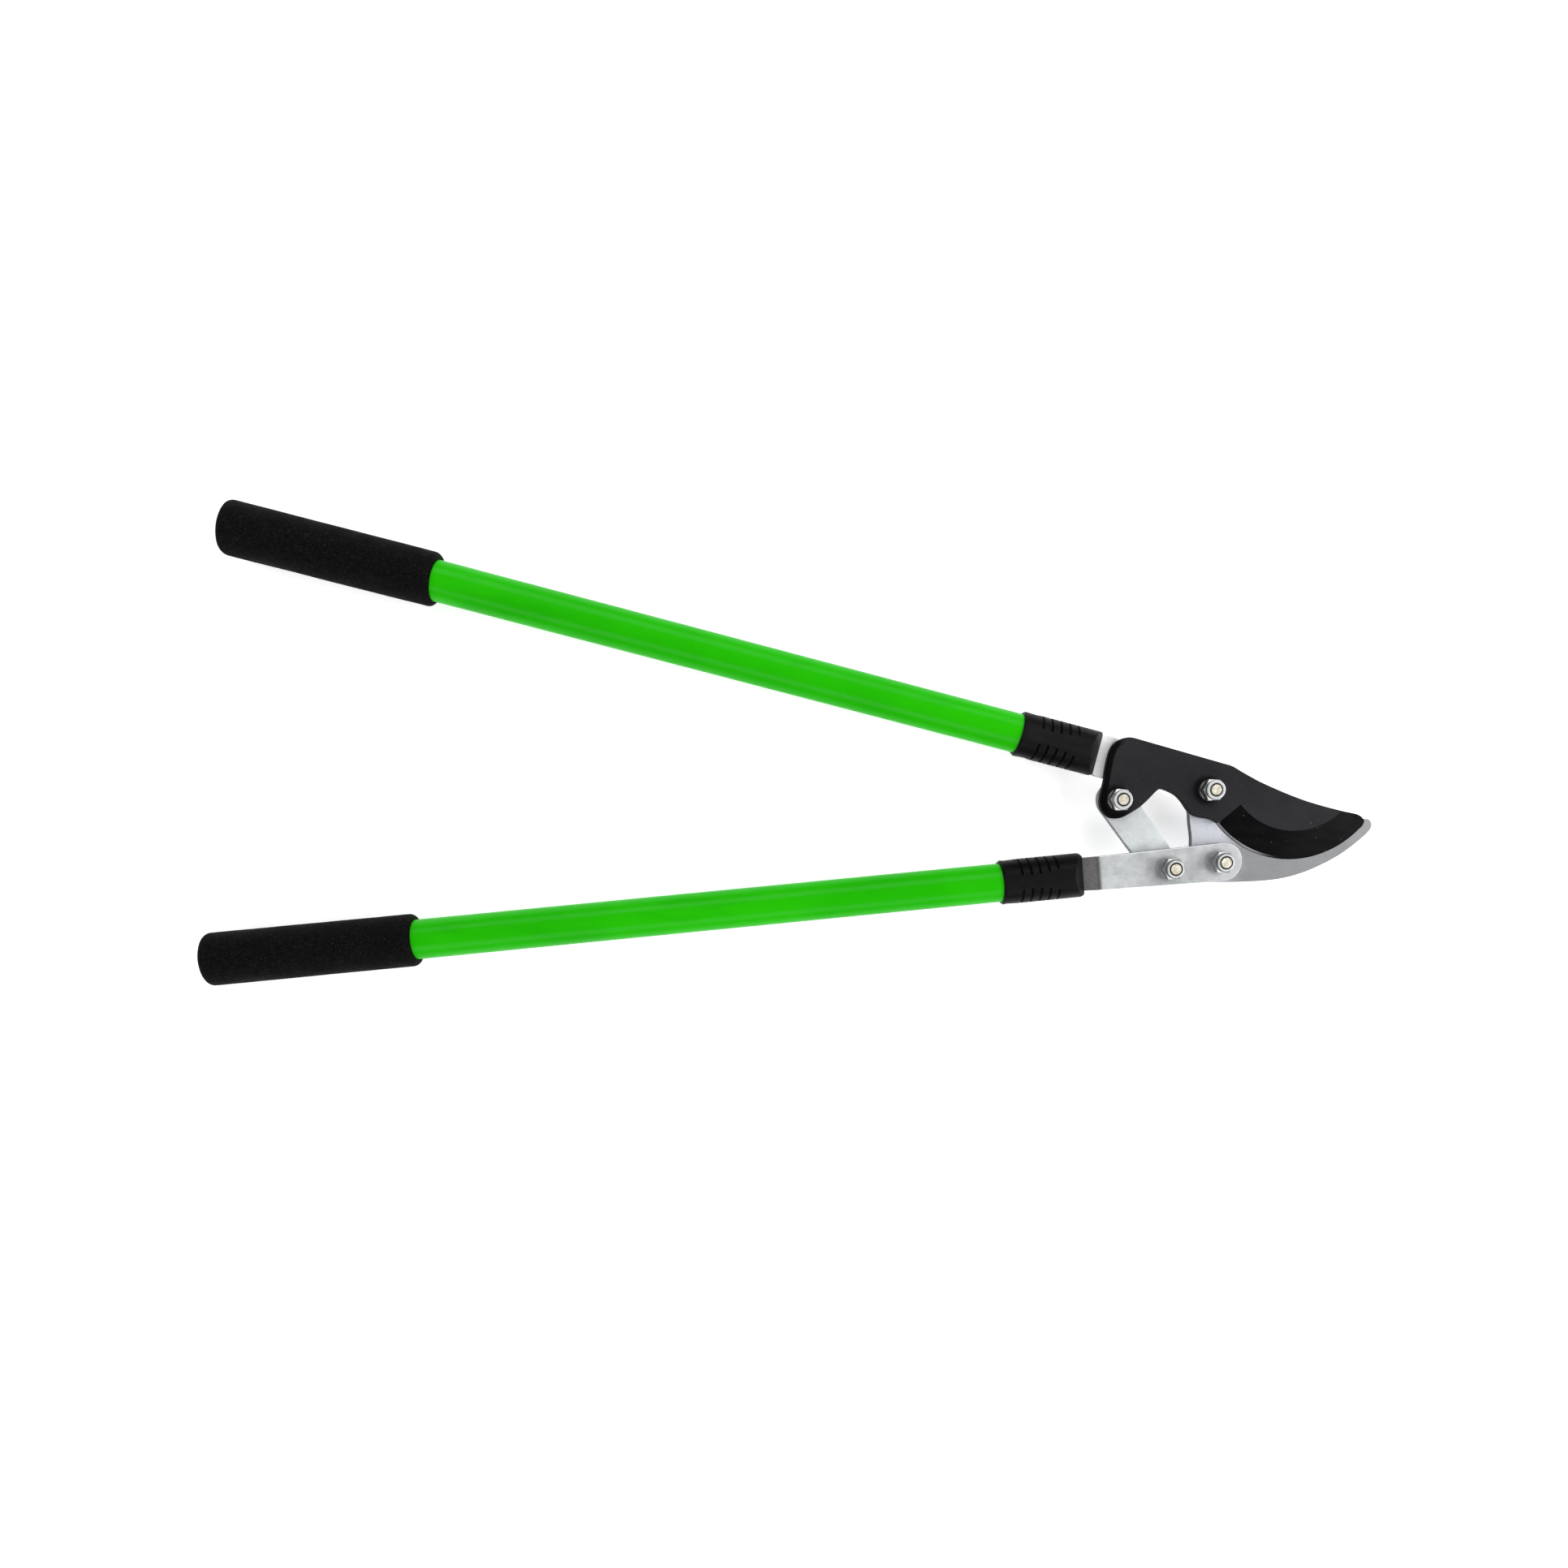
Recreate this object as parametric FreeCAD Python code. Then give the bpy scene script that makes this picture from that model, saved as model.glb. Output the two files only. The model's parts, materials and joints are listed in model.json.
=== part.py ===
"""Bypass loppers with a compound-action head, lying flat.

Row frame: +Z up, millimetres.  The origin is the main pivot's axis on the
surface the tool lies on (the underside of the main pivot's bolt head).
+X runs along the middle line between the two closed handles, towards the
blade tip.  +Y is the side of the upper handle.  All four pivot axes are +Z.

Layers of the head, bottom to top: bolt heads, flat washers, upper tang plate,
hook blade and link, cutting blade and lower tang, spring washers, lock nuts.
"""
import FreeCAD, Part
import os
import math

V = FreeCAD.Vector

# ------------------------------------------------------------------ driving sizes
HALF_ANGLE = 9.616          # each handle's angle to +X when closed, degrees
AXIS_Z = 16.45              # height of the handles' axes
TUBE_R = 12.5               # 25 mm handle tube
TUBE_WALL = 1.2
GRIP_R = 16.45
GRIP_LEN = 126.6
GRIP_END_WALL = 6.0
GRIP_END_ROUND = 2.4
GRIP_RIM_ROUND = 3.8
SLEEVE_R = 14.4
SLEEVE_LEN = 54.2
SLEEVE_CAP = 13.9           # solid part of the sleeve at the head end
# length and drop of the sloped facets at the head end, over and under the tang
UP_FACETS = ((9.0, 12.9), (6.0, 6.6))
LO_FACETS = ((8.2, 9.7), (8.2, 9.7))
GROOVE_PITCH = 5.9
GROOVE_FIRST = 12.2         # first groove's distance from the sleeve's open end
GROOVE_DEPTH = 0.6
GROOVE_ROUND = 0.85
TUBE_VISIBLE = 370.6        # tube between grip and sleeve

UP_OFFSET = 4.56            # upper axis' sideways distance from the main pivot
UP_SLEEVE_END = -76.65      # station of the sleeve's head end, from the main pivot
LO_OFFSET = -47.255
LO_SLEEVE_END = -86.65

P1 = (0.0, 0.0)             # main pivot: blade, hook blade, upper tang
P2 = (-59.87, -10.90)       # link pivot: blade, link, upper tang
P3 = (11.84, -45.88)        # hook pivot: hook blade, lower tang
P4 = (-20.77, -52.46)       # handle pivot: link, lower tang

Z_HEAD0, HEAD_H = 0.0, 5.3
WASHER_T = 1.6
T3 = 5.0                    # upper tang plate
T2 = 5.0                    # hook blade and link
T1 = 4.0                    # cutting blade and lower tang
GAP = 0.1                   # between layers that slide on each other
Z3 = Z_HEAD0 + HEAD_H + WASHER_T            # 6.9
Z2 = Z3 + T3 + GAP                          # 12.0
Z1 = Z2 + T2 + GAP                          # 17.1
Z_TOP = Z1 + T1                             # 21.1

BOLT_R = 4.0                # M8
HOLE_R = 4.05
OPEN_HOLE_R = 6.30          # link's hole at the handle pivot
HEX_AF = 13.0
NUT_HEX_H = 5.5
NUT_COLLAR_H = 2.5
NUT_COLLAR_R = 6.25         # main and link pivots
NUT_COLLAR_R_LOW = 5.75     # hook and handle pivots
SPRING_T = 2.0
SPRING_R = 6.95
WASHER_R = 8.0

EDGE_C = (55.94, 24.88)     # centre of the cutting edge's arc
EDGE_R = 65.75
BEVEL_R = 46.9              # inner end of the hollow bevel
BEVEL_START = -136.2        # radial shoulder where the bevel starts, degrees
EDGE_Z = 0.10               # land left at the cutting edge
BEVEL_Z = 0.50              # height the main bevel would reach at the edge
MICRO_W = 1.35              # ground band along the edge

UP_TANG_W = 27.0            # upper tang's strip
UP_NECK_W = 17.6
UP_NECK_Z = -3.5            # neck's middle below the tube's axis
LO_NECK_W = 19.4
NECK_IN = 44.0              # neck's length inside the tube, past the sleeve's cap
PIN_R = 2.5


# ------------------------------------------------------------------ small helpers
def vec(p, z=0.0):
    return V(p[0], p[1], z)


def wire(start, segs, z=0.0):
    """Closed outline.  L = line to a point, S = smooth curve through points,
    A = arc through a middle point to an end point."""
    edges, cur = [], start
    for s in segs:
        if s[0] == "L":
            edges.append(Part.LineSegment(vec(cur, z), vec(s[1], z)).toShape())
            cur = s[1]
        elif s[0] == "A":
            edges.append(Part.Arc(vec(cur, z), vec(s[1], z), vec(s[2], z)).toShape())
            cur = s[2]
        else:
            pts = [cur] + list(s[1])
            c = Part.BSplineCurve()
            c.interpolate([vec(p, z) for p in pts])
            edges.append(c.toShape())
            cur = pts[-1]
    if math.hypot(cur[0] - start[0], cur[1] - start[1]) > 1e-6:
        edges.append(Part.LineSegment(vec(cur, z), vec(start, z)).toShape())
    return Part.Wire(edges)


def plate(w, z0, t):
    s = Part.Face(w).extrude(V(0, 0, t))
    s.translate(V(0, 0, z0))
    return s


def cyl(p, r, z0, h):
    return Part.makeCylinder(r, h, V(p[0], p[1], z0), V(0, 0, 1))


def ring(p, ro, ri, z0, h):
    return cyl(p, ro, z0, h).cut(cyl(p, ri, z0 - 1, h + 2))


def level_edges(shape, z):
    """Edges that lie flat at height z."""
    out = []
    for e in shape.Edges:
        b = e.BoundBox
        if abs(b.ZMin - z) < 1e-4 and abs(b.ZMax - z) < 1e-4:
            out.append(e)
    return out


def soften(shape, zs, r):
    """Round the outline edges at the given heights, or bevel them if a
    round can't be made."""
    for z in zs:
        es = level_edges(shape, z)
        for op, k in (("f", 1.0), ("c", 0.8), ("f", 0.5), ("c", 0.4)):
            try:
                n = shape.makeFillet(r * k, es) if op == "f" else shape.makeChamfer(r * k, es)
                if n.isValid() and len(n.Solids) == 1 and abs(n.Volume) > 0.8 * abs(shape.Volume):
                    shape = n
                    break
            except Exception:
                continue
    return shape


def hull_circles(cs, z0, t):
    """Prism over the convex outline round a counter-clockwise list of circles
    (centre, radius)."""
    n = len(cs)
    tang = []
    for i in range(n):
        (c0, r0), (c1, r1) = cs[i], cs[(i + 1) % n]
        dx, dy = c1[0] - c0[0], c1[1] - c0[1]
        d = math.hypot(dx, dy)
        a = math.atan2(dy, dx) - math.acos((r0 - r1) / d)
        u = (math.cos(a), math.sin(a))
        tang.append(((c0[0] + r0 * u[0], c0[1] + r0 * u[1]),
                     (c1[0] + r1 * u[0], c1[1] + r1 * u[1]), a))
    segs = []
    for i in range(n):
        p, q, a = tang[i]
        segs.append(("L", q))
        c, r = cs[(i + 1) % n]
        a2 = tang[(i + 1) % n][2]
        while a2 < a:
            a2 += 2 * math.pi
        m = 0.5 * (a + a2)
        segs.append(("A", (c[0] + r * math.cos(m), c[1] + r * math.sin(m)), tang[(i + 1) % n][0]))
    return plate(wire(tang[0][0], segs), z0, t)


def on_handle(shape, upper):
    """From a handle's own frame (x = station along its axis from the main
    pivot's foot, z = 0 on the axis) to the row frame."""
    ang = -HALF_ANGLE if upper else HALF_ANGLE
    off = UP_OFFSET if upper else LO_OFFSET
    s = shape.copy()
    s.translate(V(0, off, AXIS_Z))
    s.rotate(V(0, 0, 0), V(0, 0, 1), ang)
    return s


def xcyl(r, x0, x1):
    return Part.makeCylinder(r, x1 - x0, V(x0, 0, 0), V(1, 0, 0))


def revolve_x(pts):
    """Solid of revolution about the handle's axis from (x, r) points."""
    p = [V(x, 0, r) for x, r in pts]
    w = Part.makePolygon(p + [p[0]])
    return Part.Face(w).revolve(V(0, 0, 0), V(1, 0, 0), 360)


def save(name, shape):
    sol = shape.Solids
    if len(sol) == 1:
        shape = sol[0]
    bad = [i for i, s in enumerate(sol) if not s.isValid()]
    print("%-28s solids %d  valid %s  volume %.1f mm3" % (name, len(sol), not bad, sum(s.Volume for s in sol)))
    shape.exportStep("parts/%s.step" % name)


# ------------------------------------------------------------------ head plates
def cutting_blade():
    a0 = math.radians(BEVEL_START)
    heel = (EDGE_C[0] + EDGE_R * math.cos(a0), EDGE_C[1] + EDGE_R * math.sin(a0))
    a1 = math.radians(-39.55)
    nose = (EDGE_C[0] + EDGE_R * math.cos(a1), EDGE_C[1] + EDGE_R * math.sin(a1))
    am = math.radians(-88.0)
    mid = (EDGE_C[0] + EDGE_R * math.cos(am), EDGE_C[1] + EDGE_R * math.sin(am))
    w = wire((-51.9, 29.15), [
        ("L", (10.8, 17.32)),
        ("S", [(14.0, 16.55), (17.6, 15.0), (20.6, 13.55)]),
        ("S", [(26.0, 11.2), (31.7, 8.8), (37.4, 6.7), (43.2, 4.75), (54.6, 1.2), (66.0, -1.85),
               (77.4, -4.2), (88.8, -6.1), (94.5, -6.9), (100.9, -7.55), (104.3, -8.3),
               (107.4, -10.0), (109.0, -12.1), (108.6, -14.6), nose]),
        ("A", mid, heel),
        ("S", [(5.4, -19.3), (1.6, -18.45), (-2.6, -18.25), (-6.6, -17.5), (-10.2, -15.9),
               (-13.0, -13.5), (-15.3, -10.7), (-18.2, -7.6), (-21.6, -5.0), (-25.2, -3.45),
               (-29.3, -2.15), (-32.2, -1.75)]),
        ("S", [(-33.7, -2.45), (-35.4, -4.1), (-37.4, -6.5), (-42.1, -12.0), (-47.0, -16.4),
               (-51.5, -19.55), (-55.6, -21.95), (-60.0, -23.1), (-64.3, -22.65), (-67.8, -20.5),
               (-70.3, -17.0), (-71.3, -12.7), (-71.1, -8.3), (-70.3, -3.6), (-69.7, 1.4),
               (-69.6, 6.8), (-69.1, 12.2), (-68.3, 17.6), (-66.9, 22.4), (-64.7, 25.4),
               (-61.8, 27.6), (-58.4, 29.05), (-54.9, 29.5), (-51.9, 29.15)]),
    ])
    s = plate(w, Z1, T1)
    s = soften(s, (Z_TOP,), 0.8)
    slope = (T1 - BEVEL_Z) / (EDGE_R - BEVEL_R)
    rm = EDGE_R - MICRO_W
    zm = Z_TOP - slope * (rm - BEVEL_R)
    prof = [(BEVEL_R, Z_TOP), (rm, zm), (EDGE_R, Z1 + EDGE_Z), (EDGE_R + 14, Z1 + EDGE_Z),
            (EDGE_R + 14, Z_TOP + 6), (BEVEL_R, Z_TOP + 6)]
    pw = Part.makePolygon([V(r, 0, z) for r, z in prof] + [V(prof[0][0], 0, prof[0][1])])
    cutter = Part.Face(pw).revolve(V(0, 0, 0), V(0, 0, 1), 126.0)
    cutter.rotate(V(0, 0, 0), V(0, 0, 1), BEVEL_START)
    cutter.translate(V(EDGE_C[0], EDGE_C[1], 0))
    s = s.cut(cutter)
    for p in (P1, P2):
        s = s.cut(cyl(p, HOLE_R, Z1 - 1, T1 + 2))
    return s


def hook_blade():
    w = wire((-9.3, -17.8), [
        ("S", [(-7.8, -25.2), (-6.5, -31.0), (-5.9, -36.5), (-5.2, -42.5), (-3.6, -49.0), (-0.4, -54.6),
               (4.5, -58.3), (10.4, -59.6)]),
        ("S", [(19.8, -58.9), (28.5, -58.05), (36.3, -57.2), (45.0, -56.05), (52.7, -54.75),
               (63.5, -51.85), (74.2, -47.6), (84.7, -42.05), (95.1, -35.35), (105.3, -26.8),
               (110.3, -21.9), (112.8, -19.0), (114.4, -16.6), (114.9, -14.3), (114.2, -12.0),
               (112.6, -10.5), (110.7, -10.3), (108.6, -11.3)]),
        ("S", [(104.0, -14.9), (96.0, -20.4), (86.0, -25.8), (75.0, -29.8), (64.0, -32.0),
               (52.0, -32.4), (41.0, -30.6), (31.0, -26.6), (23.5, -21.2), (18.2, -14.9),
               (15.2, -8.6), (14.5, -3.0)]),
        ("A", (-1.6, 14.41), (-14.1, -3.4)),
        ("S", [(-12.9, -8.4), (-10.9, -12.4), (-9.3, -17.8)]),
    ])
    s = plate(w, Z2, T2)
    s = soften(s, (Z2,), 0.9)
    s = soften(s, (Z2 + T2,), 0.25)
    for p in (P1, P3):
        s = s.cut(cyl(p, HOLE_R, Z2 - 1, T2 + 2))
    return s


def link_plate():
    s = hull_circles([(P2, 11.5), ((-38.5, -42.7), 6.0), (P4, 9.6)], Z2, T2)
    s = soften(s, (Z2 + T2, Z2), 0.4)
    s = s.cut(cyl(P2, HOLE_R, Z2 - 1, T2 + 2))
    s = s.cut(cyl(P4, OPEN_HOLE_R, Z2 - 1, T2 + 2))
    return s


def side_profile(pts_top, thick, half):
    """Band of constant height that follows (x, z) points of its top face."""
    up = [V(x, -half, z) for x, z in pts_top]
    dn = [V(x, -half, z - thick) for x, z in reversed(pts_top)]
    w = Part.makePolygon(up + dn + [up[0]])
    return Part.Face(w).extrude(V(0, 2 * half, 0))


def upper_tang():
    # strip and plate in plan, then the joggle that drops the plate behind the blade
    s0 = UP_SLEEVE_END + 0.1
    hw, r = UP_TANG_W / 2, 3.2
    strip = wire((s0, -hw + r), [
        ("L", (s0, hw - r)), ("A", (s0 + r * 0.2929, hw - r * 0.2929), (s0 + r, hw)),
        ("L", (-50.0, hw)), ("L", (-50.0, -hw)), ("L", (s0 + r, -hw)),
        ("A", (s0 + r * 0.2929, -hw + r * 0.2929), (s0, -hw + r))])
    strip = on_handle(plate(strip, -30, 40), True)
    body = wire((-60.5, 25.2), [
        ("L", (-46.87, 26.22)), ("L", (6.0, 13.4)),
        ("S", [(10.5, 10.2), (13.2, 4.6), (13.0, -2.0), (10.0, -8.6), (4.4, -12.4), (-2.0, -13.0),
               (-8.4, -10.6), (-13.0, -5.4), (-18.0, -0.4), (-24.0, 2.4), (-30.0, 3.0), (-36.0, 1.0),
               (-43.0, -6.0), (-50.0, -13.0), (-56.0, -17.9), (-61.5, -18.8), (-66.0, -16.2),
               (-67.9, -11.0), (-66.7, -5.4), (-63.4, -0.8), (-59.6, 3.0)])])
    body = plate(body, Z3, T3)
    plan = strip
    nw = UP_NECK_W / 2
    x_in = UP_SLEEVE_END - SLEEVE_CAP - NECK_IN
    neck = on_handle(Part.makeBox(s0 + 1 - x_in, 2 * nw, 40, V(x_in, -nw, -30)), True)
    plan = plan.fuse(neck).removeSplitter()
    zt_neck = UP_NECK_Z + T3 / 2
    zt_plate = Z3 + T3 - AXIS_Z
    side = side_profile([(x_in - 1, zt_neck), (-69.0, zt_neck), (-62.5, zt_plate), (60.0, zt_plate)], T3, 80)
    s = plan.common(on_handle(side, True)).fuse(body).removeSplitter()
    s = soften(s, (Z3, Z3 + T3), 0.3)
    for p in (P1, P2):
        s = s.cut(cyl(p, HOLE_R, Z3 - 2, T3 + 6))
    xp = UP_SLEEVE_END - SLEEVE_CAP - 20.0
    s = s.cut(on_handle(Part.makeCylinder(PIN_R + 0.05, 60, V(xp, 0, -30), V(0, 0, 1)), True))
    return s


def lower_tang():
    c, sn = math.cos(math.radians(HALF_ANGLE)), math.sin(math.radians(HALF_ANGLE))

    def at(st, y):
        y += LO_OFFSET
        return (st * c - y * sn, st * sn + y * c)
    s0 = LO_SLEEVE_END + 0.1
    plan = wire(at(s0, 11.0), [
        ("L", (10.9, -33.85)),
        ("S", [(15.6, -33.45), (19.4, -34.0), (22.8, -35.7), (25.3, -38.3), (26.8, -41.6),
               (27.3, -45.4), (26.7, -49.4), (24.7, -53.2), (21.2, -56.4), (16.4, -58.1), (10.0, -58.95)]),
        ("L", at(s0, -10.4))])
    plan = plate(plan, 0, 40)
    nw = LO_NECK_W / 2
    x_in = LO_SLEEVE_END - SLEEVE_CAP - NECK_IN
    neck = on_handle(Part.makeBox(s0 + 1 - x_in, 2 * nw, 40, V(x_in, -nw, -AXIS_Z)), False)
    plan = plan.fuse(neck).removeSplitter()
    zt_neck = T1 / 2
    zt = Z_TOP - AXIS_Z
    side = side_profile([(x_in - 1, zt_neck), (-85.4, zt_neck), (-76.2, zt), (60.0, zt)], T1, 80)
    s = plan.common(on_handle(side, False))
    s = soften(s, (Z_TOP, Z1), 0.5)
    for p in (P3, P4):
        s = s.cut(cyl(p, HOLE_R, Z1 - 2, T1 + 4))
    xp = LO_SLEEVE_END - SLEEVE_CAP - 20.0
    s = s.cut(on_handle(Part.makeCylinder(PIN_R + 0.05, 60, V(xp, 0, -30), V(0, 0, 1)), False))
    return s


# ------------------------------------------------------------------ handles
def sleeve(upper):
    end = UP_SLEEVE_END if upper else LO_SLEEVE_END
    st = end - SLEEVE_LEN
    prof = [(st, 0), (st, SLEEVE_R - 1.0), (st + 1.3, SLEEVE_R)]
    for i in range(0, 7):
        a = math.radians(90 * i / 6.0)
        prof.append((end - 2.4 + 2.4 * math.sin(a), SLEEVE_R - 2.4 + 2.4 * math.cos(a)))
    s = revolve_x(prof + [(end, 0)])
    s = s.cut(xcyl(TUBE_R + 0.05, st - 1, end - SLEEVE_CAP))
    # transverse grip grooves on the two sides, leaving the top and bottom smooth
    reach = (0.34, 0.30, 0.33, 0.38, 0.46)
    for i in range(5):
        x = st + GROOVE_FIRST + GROOVE_PITCH * i
        t = Part.makeTorus(SLEEVE_R + GROOVE_ROUND - GROOVE_DEPTH, GROOVE_ROUND, V(x, 0, 0), V(1, 0, 0))
        yl = SLEEVE_R * reach[i]
        for sgn in (1, -1):
            y0 = yl if sgn > 0 else -yl - 20
            t1 = t.common(Part.makeBox(6, 20, 60, V(x - 3, y0, -30)))
            s = s.cut(t1)
    # sloped facets over and under the head end
    for sgn, (length, drop) in zip((1, -1), UP_FACETS if upper else LO_FACETS):
        b = Part.makeBox(60, 60, 30, V(-20, -30, 0))
        b.rotate(V(0, 0, 0), V(0, 1, 0), math.degrees(math.atan2(drop, length)))
        b.translate(V(end - length, 0, SLEEVE_R))
        if sgn < 0:
            b = b.mirror(V(0, 0, 0), V(0, 0, 1))
        s = s.cut(b)
    # slot for the tang's neck
    w, t, z = (UP_NECK_W, T3, UP_NECK_Z) if upper else (LO_NECK_W, T1, 0.0)
    s = s.cut(Part.makeBox(SLEEVE_CAP + 4, w + 0.3, t + 0.3,
                           V(end - SLEEVE_CAP - 2, -w / 2 - 0.15, z - t / 2 - 0.15)))
    return on_handle(s, upper)


def tube(upper):
    end = UP_SLEEVE_END if upper else LO_SLEEVE_END
    x1 = end - SLEEVE_CAP - 0.2
    x0 = end - SLEEVE_LEN - TUBE_VISIBLE - GRIP_LEN + GRIP_END_WALL + 1.7
    s = revolve_x([(x0, TUBE_R - TUBE_WALL), (x0, TUBE_R - 0.3), (x0 + 0.3, TUBE_R), (x1 - 0.3, TUBE_R),
                   (x1, TUBE_R - 0.3), (x1, TUBE_R - TUBE_WALL)])
    xp = end - SLEEVE_CAP - 20.0
    s = s.cut(Part.makeCylinder(PIN_R + 0.05, 60, V(xp, 0, -30), V(0, 0, 1)))
    return on_handle(s, upper)


def grip(upper):
    end = UP_SLEEVE_END if upper else LO_SLEEVE_END
    x1 = end - SLEEVE_LEN - TUBE_VISIBLE
    x0 = x1 - GRIP_LEN
    k, q = GRIP_END_ROUND, GRIP_RIM_ROUND
    pts = [(x0, 0), (x0, GRIP_R - k)]
    for i in range(1, 9):
        a = math.radians(90 * i / 8.0)
        pts.append((x0 + k - k * math.cos(a), GRIP_R - k + k * math.sin(a)))
    for i in range(0, 6):
        a = math.radians(90 * i / 5.0)
        pts.append((x1 - q + q * math.sin(a), GRIP_R - q + q * math.cos(a)))
    pts += [(x1, TUBE_R + 0.05), (x0 + GRIP_END_WALL, TUBE_R + 0.05), (x0 + GRIP_END_WALL, 0)]
    return on_handle(revolve_x(pts), upper)


def end_plug(upper):
    end = UP_SLEEVE_END if upper else LO_SLEEVE_END
    x0 = end - SLEEVE_LEN - TUBE_VISIBLE - GRIP_LEN + GRIP_END_WALL + 0.1
    ri = TUBE_R - TUBE_WALL - 0.03
    s = revolve_x([(x0, 0), (x0, TUBE_R - 0.3), (x0 + 1.5, TUBE_R - 0.3), (x0 + 1.5, ri), (x0 + 17, ri),
                   (x0 + 18.5, ri - 1.0), (x0 + 18.5, ri - 2.6), (x0 + 3.5, ri - 2.6), (x0 + 3.5, 0)])
    return on_handle(s, upper)


def tang_insert(upper):
    """Moulded filler that holds the tang's neck in the tube."""
    end = UP_SLEEVE_END if upper else LO_SLEEVE_END
    x1 = end - SLEEVE_CAP - 0.3
    x0 = x1 - NECK_IN - 3.0
    ri = TUBE_R - TUBE_WALL - 0.03
    s = revolve_x([(x0, 0), (x0, ri - 1.0), (x0 + 1.0, ri), (x1, ri), (x1, 0)])
    w, t, z = (UP_NECK_W, T3, UP_NECK_Z) if upper else (LO_NECK_W, T1, 0.0)
    s = s.cut(Part.makeBox(NECK_IN + 4, w + 0.06, t + 0.06, V(x1 - NECK_IN, -w / 2 - 0.03, z - t / 2 - 0.03)))
    xp = end - SLEEVE_CAP - 20.0
    s = s.cut(Part.makeCylinder(PIN_R + 0.05, 60, V(xp, 0, -30), V(0, 0, 1)))
    return on_handle(s, upper)


def cross_pin(upper):
    end = UP_SLEEVE_END if upper else LO_SLEEVE_END
    xp = end - SLEEVE_CAP - 20.0
    h = TUBE_R - 0.2
    p = [V(0, 0, -h), V(PIN_R - 0.4, 0, -h), V(PIN_R, 0, -h + 0.4), V(PIN_R, 0, h - 0.4), V(PIN_R - 0.4, 0, h), V(0, 0, h)]
    s = Part.Face(Part.makePolygon(p + [p[0]])).revolve(V(0, 0, 0), V(0, 0, 1), 360)
    s.translate(V(xp, 0, 0))
    return on_handle(s, upper)


# ------------------------------------------------------------------ fasteners
def hexagon(p, af, z0, h, phase, cham_top, cham_bot):
    rc = af / 2 / math.cos(math.radians(30))
    pts = [V(rc * math.cos(math.radians(phase + 60 * i)), rc * math.sin(math.radians(phase + 60 * i)), 0)
           for i in range(7)]
    s = Part.Face(Part.makePolygon(pts)).extrude(V(0, 0, h))
    # corners turned off by a shallow cone
    k = rc - af / 2 * 0.97
    d = k * math.tan(math.radians(30))
    prof = [V(0, 0, 0), V(af / 2 * 0.97 if cham_bot else rc + 1, 0, 0)]
    if cham_bot:
        prof.append(V(rc + 0.01, 0, d))
    if cham_top:
        prof += [V(rc + 0.01, 0, h - d), V(af / 2 * 0.97, 0, h)]
    else:
        prof.append(V(rc + 0.01 if cham_bot else rc + 1, 0, h))
    prof += [V(0, 0, h)]
    s = s.common(Part.Face(Part.makePolygon(prof + [prof[0]])).revolve(V(0, 0, 0), V(0, 0, 1), 360))
    s.translate(V(p[0], p[1], z0))
    return s


def bolt(p, z_head, phase):
    """Hex bolt, head down; the shank's end is flush with the lock nut."""
    s = hexagon(p, HEX_AF, z_head, HEAD_H, phase, False, True)
    z_end = Z_TOP + SPRING_T + NUT_HEX_H + NUT_COLLAR_H
    z0 = z_head + HEAD_H - 0.5
    q = [V(0, 0, z0), V(BOLT_R, 0, z0), V(BOLT_R, 0, z_end - 0.75), V(BOLT_R - 0.65, 0, z_end), V(0, 0, z_end)]
    sh = Part.Face(Part.makePolygon(q + [q[0]])).revolve(V(0, 0, 0), V(0, 0, 1), 360)
    sh.translate(V(p[0], p[1], 0))
    return s.fuse(sh).removeSplitter()


def nut(p, phase, rc):
    z0 = Z_TOP + SPRING_T
    z1 = z0 + NUT_HEX_H
    z2 = z1 + NUT_COLLAR_H
    s = hexagon(p, HEX_AF, z0, NUT_HEX_H, phase, True, True)
    rr = 0.9
    prof = [(0, z1 - 0.6), (rc, z1 - 0.6), (rc, z2 - rr)]
    for i in range(1, 6):
        a = math.radians(18 * i)
        prof.append((rc - rr + rr * math.cos(a), z2 - rr + rr * math.sin(a)))
    prof += [(4.55, z2), (4.3, z2 - 0.25), (0, z2 - 0.25)]
    q = [V(r, 0, z) for r, z in prof]
    c = Part.Face(Part.makePolygon(q + [q[0]])).revolve(V(0, 0, 0), V(0, 0, 1), 360)
    c.translate(V(p[0], p[1], 0))
    s = s.fuse(c).removeSplitter()
    s = s.cut(cyl(p, BOLT_R + 0.02, z0 - 1, 12))
    s = s.cut(cyl(p, 4.9, z1 + 0.3, 1.75))
    s = s.cut(cyl(p, 4.3, z1 + 0.3, 4))
    return s


def nylon_ring(p):
    z1 = Z_TOP + SPRING_T + NUT_HEX_H
    s = ring(p, 4.88, BOLT_R + 0.02, z1 + 0.31, 1.7)
    return s.fuse(ring(p, 4.28, BOLT_R + 0.02, z1 + 0.31, 1.95)).removeSplitter()


def spring_washer(p, split):
    s = ring(p, SPRING_R, BOLT_R + 0.1, Z_TOP, SPRING_T)
    s = soften(s, (Z_TOP + SPRING_T,), 0.25)
    b = Part.makeBox(6, 1.1, 8, V(2, -0.55, -4))
    b.rotate(V(0, 0, 0), V(1, 0, 0), 28)
    b.rotate(V(0, 0, 0), V(0, 0, 1), split)
    b.translate(V(p[0], p[1], Z_TOP + SPRING_T / 2))
    return s.cut(b)


def flat_washer(p, z0):
    s = ring(p, WASHER_R, BOLT_R + 0.2, z0, WASHER_T)
    return soften(s, (z0,), 0.25)


os.makedirs("parts", exist_ok=True)

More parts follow.
